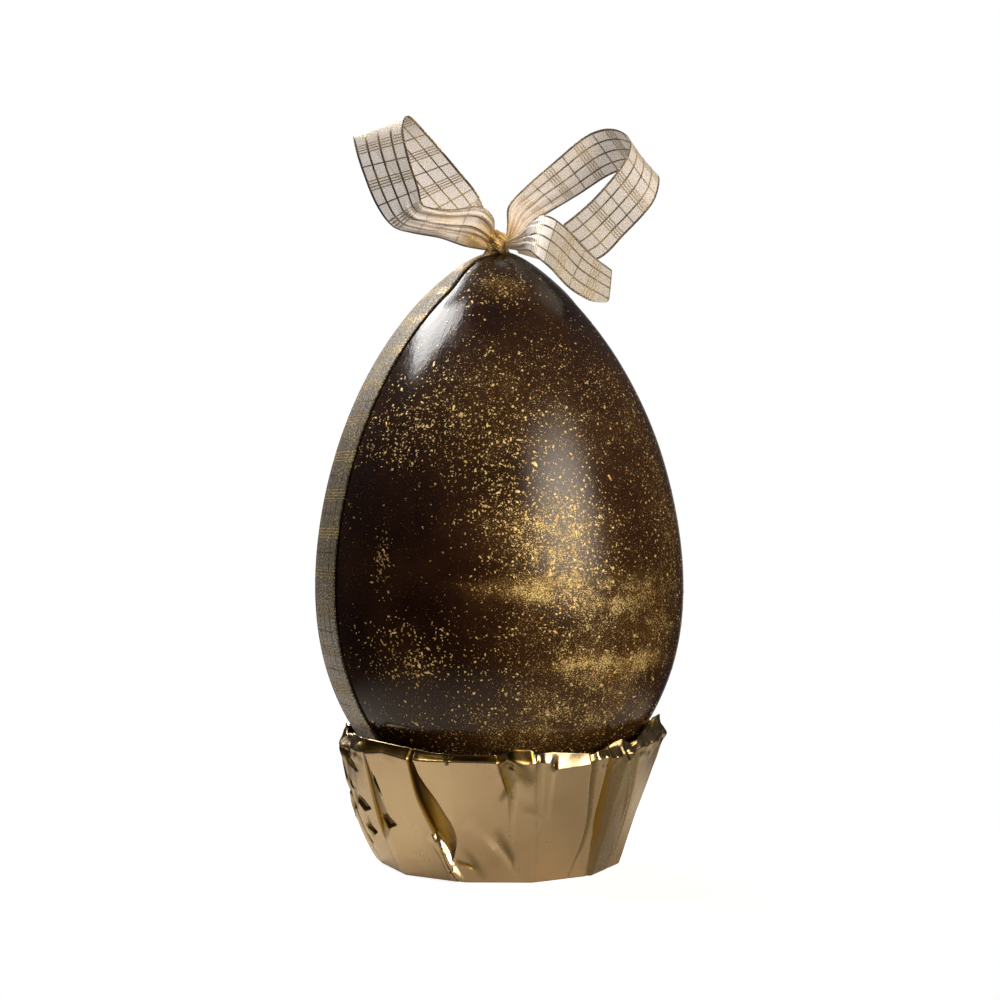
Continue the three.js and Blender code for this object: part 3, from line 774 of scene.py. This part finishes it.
rings = []
shaded_rings = []
turns, insets, shades = wall_columns(0.0)
for radius in (0.01, 30, FOOT_RADIUS - SOLE_EDGE):
    rings.append(ring_points(turns, radius * foot_share(turns) - insets * (radius > 40), 0.0))
    shaded_rings.append(shades)
for i in range(WALL_ROWS + LIP_ROWS + 1):
    share = min(i / WALL_ROWS, 1)
    turned_in = max(i - WALL_ROWS, 0) / LIP_ROWS
    level = FOOT_LEVEL + share * (BROW_LEVEL - FOOT_LEVEL) + turned_in * (RIM_LEVEL - BROW_LEVEL)
    turns, insets, shades = wall_columns(level)
    around = centred(turns)
    brow = read(BROW, around)
    rim = read(RIM, around)
    squeeze = read(SQUEEZE, around)
    out, shaded, lit = crumpled(turns, level)
    out = out * smooth(level, 0, 2) - insets
    cornered = 1 + (foot_share(turns) - 1) * (1 - CORNERS_LOST * smooth(share, 0, 0.7))
    ease = math.sin(turned_in * math.pi / 2) ** 1.3
    radius = (FOOT_RADIUS + (BROW_RADIUS - FOOT_RADIUS) * share) * cornered - read(TURN_IN, around) * ease
    radius = radius - squeeze * share**2 + squeeze * 0.6 * np.sin(math.pi * share)
    radius = radius + read(BULGE, around) * math.sin(math.pi * share**0.55)
    height = FOOT_LEVEL + (brow - FOOT_LEVEL) * share + (rim - brow) * turned_in
    rings.append(ring_points(turns, radius + out * (1 - 0.15 * turned_in), height + out * 0.55 * turned_in))
    mirrored = read(LIP_SHADE, around) * smooth(turned_in, 0, 0.3) * (1 - smooth(turned_in, 0.8, 1))
    shaded_rings.append(np.maximum(np.maximum(shades, shaded) * (1 - lit) - 0.5 * lit, mirrored))
rings.append(ring_points(turns, LIP_INSIDE[0] + 0.4 * out, rim + LIP_INSIDE[1]))
shaded_rings.append(shades * 0 + 0.1)
for radius, height in WELL:
    rings.append(ring_points(turns, radius, height + 0.0))
    shaded_rings.append(read(WELL_SHADE, around) + (radius < WELL[0][0]))

SATIN_GOLD = (0.66, 0.495, 0.29, 1)
LIGHT_GOLD = (0.73, 0.56, 0.335, 1)
PAINTED_HIGHLIGHT_FOIL = (1.0, 0.92, 0.78, 1)
FOIL_SHADES = [  # from the lightest to what mirrors the chocolate: colour, and how shaded it comes in
    ((0.33, 0.245, 0.12, 1), 0.02, 0.3),
    ((0.38, 0.225, 0.04, 1), 0.28, 0.55),
    ((0.13, 0.065, 0.008, 1), 0.55, 0.95),
    ((0.05, 0.031, 0.010, 1), 0.95, 1.3),
]
foil, shade, surface = new_finish("gold_foil")
place = shade.node("TexCoord", {}, {}, "Object")
cloudy = place.noise(40, 3)
fine_noise = place.noise(210, 4, 0.6)
height = cloudy * 0.5 + fine_noise * 0.22
relief = shade.node("Bump", {}, {"Strength": 0.2, "Distance": 0.0012, "Height": height})
shaded = shade.node("Attribute", {"attribute_name": "shaded"}, {}, "Fac")
bright = cloudy.above(0.3, 0.7).mix(SATIN_GOLD, LIGHT_GOLD)
# Where the shaded mark is less than nothing, the foil is lightened: a painted highlight on the lit creases.
gold_colour = (-shaded).above(0, 0.5).mix(bright, PAINTED_HIGHLIGHT_FOIL)
for deeper, low, high in FOIL_SHADES:
    gold_colour = shaded.above(low, high).mix(gold_colour, deeper)
feed(
    surface,
    Base_Color=gold_colour,
    Metallic=1.0,
    Roughness=fine_noise * 0.14 + 0.18 + shaded * 0.1,
    Normal=relief,
)
surface_piece(
    "crumpled_foil_cup", np.array(rings), foil, ring=True, marks={"shaded": np.array(shaded_rings)},
    stands_for=["foil_cup"],
)

# ----------------------------------------------------------------------------
# Ribbon and its band: sheer organza 25 mm wide, lilac-grey, with gold and dark threads woven in
# as a plaid. One strip is drawn tight round the egg along its seam, from under the blunt end up
# the left to the knot and down the far side, and is pinched into pleats where it meets the knot.
RIBBON_WIDTH = 0.025
RIBBON_THICK = 0.00014
STRIPE_GAPS = 4
REPEAT = 0.016  # from one group of cross lines to the next
GROUP_LINES = 4
GROUP_STEP = 0.0012
STRIPE = (0.0003, 0.00016)  # a line's half-width, and how far its sides fade
GROUP_LINE = (0.00015, 0.00015)
SINGLE_LINE = (0.0002, 0.00014)
SELVEDGE = (0.0012, 0.0002)  # whole width, and how far its inner side fades
BOLD_GAIN = 0.00014  # how much wider to each side a bold stripe is
LILAC = (0.60, 0.545, 0.53, 1)
PALE_PINK = (1.0, 0.93, 0.84, 1)
PEACH = (0.77, 0.655, 0.555, 1)
PAINTED_HIGHLIGHT_WHITE = (1.0, 0.95, 0.90, 1)
SHADE_AND_SPECK_BROWN = (0.088, 0.069, 0.05, 1)
FOLD_SHADE_BROWN = (0.28, 0.15, 0.055, 1)
BRONZE = (0.50, 0.31, 0.10, 1)
GILT = (0.36, 0.31, 0.24, 1)
DARK_THREAD = (0.045, 0.029, 0.012, 1)
GOLD_THREAD = (0.52, 0.35, 0.11, 1)
GOLD_GLINT = (1.0, 0.80, 0.42, 1)
BLACK = (0, 0, 0, 1)
SHEEN = (1, 0.93, 0.85, 1)


def woven_line(place, middle, half, fade):
    """A line across or along the cloth, from 0 beside it to 1 on it."""
    return abs(place - middle).below(half, half + fade)


def plaid_organza(name, cover, glow, grain, darkened, gloss):
    """The ribbon's finish: how much its ground covers, how brightly its ground glows as painted light
    for the light that comes through it, its weave's grain along and across, how far its ground is
    darkened, partly as painted shade, and how glossy it is."""
    organza, shade, surface = new_finish(name)
    cloth = shade.node("UVMap", {"uv_map": "cloth"}, {})
    along = shade.node("SeparateXYZ", {}, {"Vector": cloth}, "X")
    across = shade.node("SeparateXYZ", {}, {"Vector": cloth}, "Y")
    crowded, gilt_and_highlight, bronzed, bold_and_shade = [
        shade.node("Attribute", {"attribute_name": mark}, {}, "Fac")
        for mark in ("crowded", "gilt_and_highlight", "bronzed", "bold_and_shade")
    ]
    weave = cloth.vector("MULTIPLY", grain).noise(1, 2, dimensions="2D")
    threads = cloth.noise(900, 2, dimensions="2D")
    drift = cloth.noise(75, 2, dimensions="2D")
    creased = cloth.vector("MULTIPLY", (60, 700, 0)).noise(1, 3, dimensions="2D")

    gap = RIBBON_WIDTH / STRIPE_GAPS
    stripe = abs((across / gap + 0.5).maths("FRACT") - 0.5) * gap - bold_and_shade * BOLD_GAIN
    stripe = stripe.below(STRIPE[0], STRIPE[0] + STRIPE[1])
    inner_side = RIBBON_WIDTH / 2 - SELVEDGE[0]
    selvedge = abs(across - RIBBON_WIDTH / 2).above(inner_side, inner_side + SELVEDGE[1])
    in_repeat = (along / REPEAT).maths("FRACT") * REPEAT
    single = woven_line(in_repeat, REPEAT * 0.75, *SINGLE_LINE)
    group = 0.0
    for k in range(GROUP_LINES):
        middle = REPEAT * 0.25 + (k - (GROUP_LINES - 1) / 2) * GROUP_STEP
        group = woven_line(in_repeat, middle, *GROUP_LINE) + group
    dark = stripe.maths("MAXIMUM", selvedge).maths("MAXIMUM", single * 0.85)
    lines = dark.maths("MAXIMUM", group * 0.9) * (1 - crowded * 0.75) * (1 - gilt_and_highlight * 0.3)
    lines = lines.maths("MAXIMUM", selvedge * 0.9)

    glitter = (drift.above(0.45, 0.6) * 0.75 + threads.above(0.5, 0.7) * 0.5).maths("MINIMUM", 1.0)
    golden = glitter * (1 - bold_and_shade * 0.85)
    golden_dark = golden * dark * (1 - selvedge * 0.8)
    thread = golden_dark.maths("MAXIMUM", group * (glitter * 0.5 + 0.45)).mix(DARK_THREAD, GOLD_THREAD)
    rich = group * 0.7 + dark * golden * 0.7 + crowded * 0.3 + drift.above(0.5, 0.7) * 0.4
    glinting = weave.above(0.56, 0.66) * (rich + gilt_and_highlight * 0.5 + 0.1)

    # On the drawn-tight band the ground is darkened towards brown, and the bold-and-shade mark varies this
    # along its length as painted shade: darker at mid height and by the tip, lighter low down.
    band_darkening = (weave.below(0.4, 0.6) * 0.25 + bold_and_shade * 0.42 + 0.56) * darkened
    worn = threads.below(0.35, 0.5) * (gilt_and_highlight.above(0, 1) * 0.6 + bronzed * 0.5)
    ground = weave.above(0.4, 0.6).mix(LILAC, PALE_PINK)
    ground = band_darkening.mix(ground, SHADE_AND_SPECK_BROWN)
    ground = worn.mix(ground, SHADE_AND_SPECK_BROWN)
    ground = gilt_and_highlight.above(0, 1).mix(ground, GILT)
    # Where the gilt-and-highlight mark is less than nothing, the ground is whitened: a painted highlight, as
    # on the front tail's top bend.
    ground = (-gilt_and_highlight).above(0, 1).mix(ground, PAINTED_HIGHLIGHT_WHITE)
    ground = (crowded * (0.9 - 0.5 * darkened)).mix(ground, PEACH)
    # Painted shade along the lengthways folds of gathered cloth.
    ground = (creased.above(0.52, 0.66) * crowded * 0.75).mix(ground, FOLD_SHADE_BROWN)
    ground = (bronzed * (0.45 + threads)).mix(ground, BRONZE)
    height = lines * 0.6 + weave * 0.4
    ripple = shade.node("Bump", {}, {"Strength": 0.3, "Distance": 0.0001, "Height": height})
    feed(
        surface,
        Base_Color=glinting.mix(lines.mix(ground, thread), GOLD_GLINT),
        Metallic=lines * 0.3 + glinting * 0.4,
        Roughness=0.5 - lines * 0.1,
        Alpha=lines * 0.8 + crowded * 0.2 + weave * 0.2 + abs(gilt_and_highlight) * 0.25 + (cover - 0.1),
        # The ground glows: painted light for the light that shines through the sheer cloth.
        Emission_Color=(lines * 0.9).mix(ground, BLACK),
        Emission_Strength=glow,
        Sheen_Weight=gloss,
        Specular_IOR_Level=gloss * 1.4,
        Sheen_Roughness=0.3,
        Sheen_Tint=SHEEN,
        Normal=ripple,
    )
    return organza


bow_organza = plaid_organza("plaid_organza", 0.66, 0.22, (2300, 2300, 0), 0.0, 0.25)
band_organza = plaid_organza("plaid_organza_drawn_tight", 0.8, 0.08, (1300, 900, 0), 1.0, 0.04)

BRONZED_SPOTS = [  # where gold threads crowd round the knot: middle, radius, how far it is full
    ((-0.0018, -0.0015, 0.2598), 0.0095, 1.6),
    ((-0.0115, -0.0075, 0.2595), 0.007, 1.3),
]


def cloth_piece(name, points, lengths, organza, gilt_and_highlight, bold_and_shade, stands_for):
    """A ribbon through a grid of points, solid at its real thickness, with its weave laid on.
    Its gilt-and-highlight table is how gold its ground is, and below nothing how white its painted
    highlight is; its bold-and-shade table is how heavy its plaid is and how much painted shade
    darkens the band's ground, by length."""
    cells = points.shape[1]
    along = np.repeat(lengths[:, None], cells, 1)
    across = np.repeat(np.linspace(0, RIBBON_WIDTH, cells)[None], len(points), 0)
    width = np.linalg.norm(points[:, -1] - points[:, 0], axis=1)
    gathered = RIBBON_WIDTH / np.maximum(width, 0.001)
    crowded = np.clip((gathered - 1.2) / 0.9, 0, 1)
    bronzed = 0.0
    for middle, radius, full in BRONZED_SPOTS:
        spot = np.clip(full - np.linalg.norm(points - middle, axis=-1) / radius, 0, 1)
        bronzed = np.maximum(bronzed, spot)
    marks = {
        "bronzed": bronzed,
        "crowded": np.repeat(crowded, cells),
        "gilt_and_highlight": np.repeat(read(gilt_and_highlight, lengths * 1000), cells),
        "bold_and_shade": np.repeat(read(bold_and_shade, lengths * 1000), cells),
    }
    uv = np.stack([along, across], -1)
    piece = surface_piece(name, points, organza, uv=uv, marks=marks, stands_for=stands_for)
    solid = piece.modifiers.new("thickness", "SOLIDIFY")
    solid.thickness = RIBBON_THICK
    solid.offset = 0


# The band's lengths run from under the blunt end up the near side to the tip, at 311 mm, and on
# down the far side.
SEAM_TURN = math.radians(22)
BAND_GATHER = (0.236, 0.2555)  # heights between which it is gathered
BAND_TIP_WIDTH = 0.008
BAND_HUG = (0.3, 1)  # how closely its sides bend round the egg, in front and behind
BAND_GAP = 0.0006  # how far it stands off the egg
BAND_FOLDS = 3
BAND_FOLD_SHARE = 0.35  # how much of the folds' depth stands off the egg
FAR_SLIP = math.radians(9)  # how far it strays on the far side
BAND_STATIONS = 420
BAND_CELLS = 24
BAND_GILDED = {0: 0.3}
BAND_SHADE_AND_BOLD = {  # how heavy its plaid is and how much painted shade darkens its ground, by length in millimetres
    60: -1, 90: -1, 115: -0.5, 140: 0.7, 160: 1, 190: 1, 210: 0.5, 230: -0.1, 255: -0.2, 280: 0.4,
    311: 0.8, 340: -0.4,
}


def pleated(width, across, count):
    """How far the cloth stands off where its full width is gathered into less, as folds."""
    spare = np.sqrt(np.maximum(RIBBON_WIDTH / np.maximum(width, 0.002) - 1, 0))
    reach = width * spare / (math.pi * count)
    return reach * np.sin(2 * math.pi * count * across)


rows = []
share = np.linspace(0, 1, BAND_CELLS + 1)
for angle in np.linspace(0, 2 * math.pi, BAND_STATIONS + 1):
    height = (1 - math.cos(angle)) / 2 * EGG_HEIGHT + EGG_FOOT[1]
    gather = smooth(height, *BAND_GATHER)
    half = (RIBBON_WIDTH + (BAND_TIP_WIDTH - RIBBON_WIDTH) * gather) / 2
    far = max(-math.sin(angle), 0)
    side = (share * 2 - 1) * half
    folds = pleated(2 * half, share, BAND_FOLDS) * BAND_FOLD_SHARE * gather
    x, z = egg_profile(angle, BAND_GAP + np.abs(folds))
    girth = np.maximum(np.abs(x), 2 * half)
    hug = BAND_HUG[0] + (BAND_HUG[1] - BAND_HUG[0]) * min(4 * far, 1)
    hug = hug + (1 - hug) * smooth(-side / half, 0, 0.9) * (angle < math.pi)  # its front edge lies down
    inward = hug * (girth - np.sqrt(girth**2 - side**2)) * np.sign(x) - x
    turn = SEAM_TURN + FAR_SLIP * far
    right = inward * math.cos(turn) - side * math.sin(turn)
    back = inward * math.sin(turn) + side * math.cos(turn)
    rows.append(np.stack([right, back, z + 0 * side], -1))
band_points = lean(np.array(rows))
steps = np.linalg.norm(np.diff(band_points[:, BAND_CELLS // 2], axis=0), axis=1)
lengths = np.concatenate([[0], np.cumsum(steps)])
cloth_piece(
    "organza_band", band_points, lengths, band_organza, BAND_GILDED, BAND_SHADE_AND_BOLD,
    ["ribbon_band"],
)

# ----------------------------------------------------------------------------
# Bow: two loops and two tails, each a strip spanned between its selvedges, station by station
# in millimetres, and gathered into lengthways folds where it runs into the knot.
# A station is a point on the one selvedge, then one on the other.
LEFT_LOOP = [
    (-4, -3, 256.5, -3.5, -3, 261.5),
    (-9, -5, 257, -2.5, -8, 269),
    (-15.5, -7, 258, -8, -11, 274),
    (-25, -9, 261, -19.5, -14, 272.5),
    (-36.5, -10, 263, -28.5, -18, 272.5),
    (-45, -10, 266, -32, -20, 274),
    (-52, -9, 275.5, -33.5, -21, 280.5),
    (-58, -8, 290.5, -37.5, -20, 293),
    (-61, -6, 301, -40, -17, 305.5),
    (-61, -1, 305.5, -38, -10, 312),
    (-53, 4, 299.5, -30.5, -5, 305.5),
    (-40.5, 6, 285, -18.5, -2, 292),
    (-26.5, 5, 270, -9, 1, 280.5),
    (-9, 3, 259.5, -5.5, 2, 269.5),
    (-4, 2, 258.5, -3, 2, 262),
]
RIGHT_LOOP = [
    (2.5, 1, 260.5, 3.5, -1, 258),
    (3, 2, 268.5, 8.5, 4, 264),
    (3.5, 3, 276.5, 14.5, 10, 270.5),
    (10, 4, 284, 22, 15, 276),
    (23, 4, 295.5, 34, 17, 283.5),
    (36, 3, 306, 48, 15, 292),
    (45.5, -1, 308.5, 59, 11, 294),
    (52.5, -7, 305, 66.5, 5, 290.5),
    (54, -12, 299, 67, -1, 284.5),
    (50, -15, 290, 63.5, -4, 275.5),
    (38.5, -15, 276.5, 52.5, -3, 263.5),
    (26.5, -13, 266.5, 41, -3, 253),
    (15.5, -8, 260, 24, -4, 251.5),
    (5.5, -3, 258, 8, -3, 255.5),
]
FRONT_TAIL = [
    (3, -5, 260.5, 3, -6, 257),
    (9.5, -9, 264, 8.5, -13, 255.5),
    (15, -13, 269, 12, -22, 254),
    (20.5, -17, 269, 15.5, -29, 250),
    (27, -20, 264, 20.5, -34, 245),
    (36.5, -22, 253.5, 29, -37, 236),
    (45.9, -23, 246, 43.3, -38, 228),
]
BACK_TAIL = [
    (-2, 3, 260.5, 1.5, 3, 260.5),
    (-5, 10, 260, 3, 10, 260),
    (-10, 21, 254.5, 6, 21, 254.5),
    (-15, 31, 245.5, 7, 32, 245.5),
    (-18, 42, 233.5, 6.5, 44, 233.5),
    (-20, 50.5, 221, 5, 53, 214.5),
]
STRIP_CELLS = 32
STEPS = 14  # between two stations
ACROSS = np.linspace(0, 1, STRIP_CELLS + 1)
FLAT_FROM = 0.0215  # where the strip is this wide, its folds have run out
PHASE_STEP = 40  # how fast the folds' shift changes with the strip's length
CORNER_CUT = 7  # how many rows a tail's lower corner is cut back


def curve_through(points):
    """A smooth line through points."""
    points = np.array(points, float)
    ends = np.vstack([2 * points[0] - points[1], points, 2 * points[-1] - points[-2]])
    made = []
    for p, q, r, s in zip(ends, ends[1:], ends[2:], ends[3:]):
        for t in np.arange(STEPS) / STEPS:
            bend = (2 * p - 5 * q + 4 * r - s) * t**2
            twist = (3 * q - p - 3 * r + s) * t**3
            made.append(0.5 * (2 * q + (r - p) * t + bend + twist))
    made.append(points[-1])
    return np.array(made)


def ribbon_strip(stations, folds, start, crown, phase):
    """The strip's points and lengths: folds it makes where gathered, where its plaid starts, how
    far it is crowned, and how its folds are shifted."""
    selvedges = curve_through(stations) / 1000
    one, other = selvedges[:, :3], selvedges[:, 3:]
    span = other - one
    points = one[:, None] + span[:, None] * ACROSS[None, :, None]
    middle = (one + other) / 2
    lengths = np.concatenate([[0], np.cumsum(np.linalg.norm(np.diff(middle, axis=0), axis=1))])
    square = np.cross(span, np.gradient(middle, axis=0))
    square /= np.linalg.norm(square, axis=1)[:, None]
    width = np.linalg.norm(span, axis=1)[:, None]
    wander = (phase + 0.5 * np.sin(lengths * 90 + phase))[:, None]
    bent = ACROSS + 0.06 * np.sin(2 * math.pi * ACROSS * 2 + wander * 2)
    off = pleated(width, bent + wander * 0.1, folds) * np.sin(math.pi * ACROSS) ** 0.35
    off = off * np.clip((FLAT_FROM - width) / 0.005, 0, 1) * 1.3
    off = off + crown * np.sin(math.pi * ACROSS) * RIBBON_WIDTH
    return points + square[:, None] * off[..., None], lengths + start


def cut_round(points):
    """Draws the last rows back, so that the strip's lower corner is round."""
    row = np.arange(len(points), dtype=float)
    cut = CORNER_CUT * np.clip((ACROSS - 0.74) / 0.26, 0, 1) ** 2.2
    for column in range(STRIP_CELLS + 1):
        reached = np.minimum(row, row[-1] - cut[column])
        for axis in range(3):
            points[:, column, axis] = np.interp(reached, row, points[:, column, axis])


BOW = [  # piece, node, stations, folds, where the plaid starts, flat length, crown, gilt and painted highlight, bold plaid and painted shade
    ("organza_left_loop", "bow_loop_left", LEFT_LOOP, 5, 0.011, 0.16, 0.01,
     {84: 0.05, 91: 0.55, 100: 0.4, 114: 0}, {88: 0.75, 96: -0.6}),
    ("organza_right_loop", "bow_loop_right", RIGHT_LOOP, 4, 0.0135, 0.165, 0.02, {0: 0.28}, {0: 0.2}),
    ("organza_front_tail", "bow_tail_front", FRONT_TAIL, 4, 0.0, 0.062, 0.03,
     {0: 0, 8: -0.9, 22: -0.8, 29: 0.6}, {0: 0.8}),
    ("organza_back_tail", "bow_tail_back", BACK_TAIL, 3, 0.009, 0.07, 0.03, {0: 0, 30: 0.4}, {0: 0}),
]
for name, node, stations, folds, start, length, crown, gilt_and_highlight, bold_and_shade in BOW:
    points, lengths = ribbon_strip(stations, folds, start, crown, length * PHASE_STEP)
    if name == "organza_front_tail":
        cut_round(points)
    cloth_piece(name, points, lengths, bow_organza, gilt_and_highlight, bold_and_shade, [node])

# ----------------------------------------------------------------------------
# Knot: the ribbon pulled tight round the bow's middle, crushed into radiating creases in which
# the gold threads crowd together.
KNOT_CENTRE = (-1.6, -1.8, 260.2)  # millimetres, as its size
KNOT_SIZE = (6.2, 5.6, 5.2)
KNOT_ROWS = 120
KNOT_COLUMNS = 160
KNOT_BROWN = (0.36, 0.20, 0.05, 1)
KNOT_GOLD = (0.86, 0.60, 0.24, 1)
KNOT_GLINT = (0.9, 0.72, 0.38, 1)

crushed, shade, surface = new_finish("crushed_organza")
place = shade.node("TexCoord", {}, {}, "Object")
thread = place.noise(1400, 3)
patch = place.noise(350, 2)
base = patch.above(0.35, 0.65).mix(KNOT_BROWN, KNOT_GOLD)
relief = shade.node("Bump", {}, {"Strength": 0.6, "Distance": 0.0003, "Height": thread})
feed(
    surface,
    Base_Color=thread.above(0.55, 0.68).mix(base, KNOT_GLINT),
    Metallic=thread.above(0.5, 0.7) * 0.7,
    Roughness=0.5,
    Normal=relief,
)
turns = np.linspace(0, 2 * math.pi, KNOT_COLUMNS, endpoint=False)
turn, up = np.meshgrid(turns, np.linspace(0, math.pi, KNOT_ROWS))
girth = np.sin(up)
fold = np.abs(np.sin(2 * turn + 2.2 * np.sin(2 * up) + 0.9))
fold = fold + 0.6 * np.abs(np.sin(4 * turn - 3.7 * up + 1.1))
fine_fold = np.abs(np.sin(9 * turn + 7 * up)) + np.abs(np.sin(13 * turn - 9 * up + 0.7))
swell = 0.66 + 0.2 * fold * girth + 0.07 * fine_fold * girth
long_way = -np.cos(up) * (0.9 + 0.1 * girth)
knot_points = np.stack([long_way, girth * np.cos(turn) * swell, girth * np.sin(turn) * swell], -1)
knot_points = (knot_points * KNOT_SIZE + KNOT_CENTRE) / 1000
surface_piece("crushed_knot", knot_points, crushed, ring=True, stands_for=["bow_knot"])
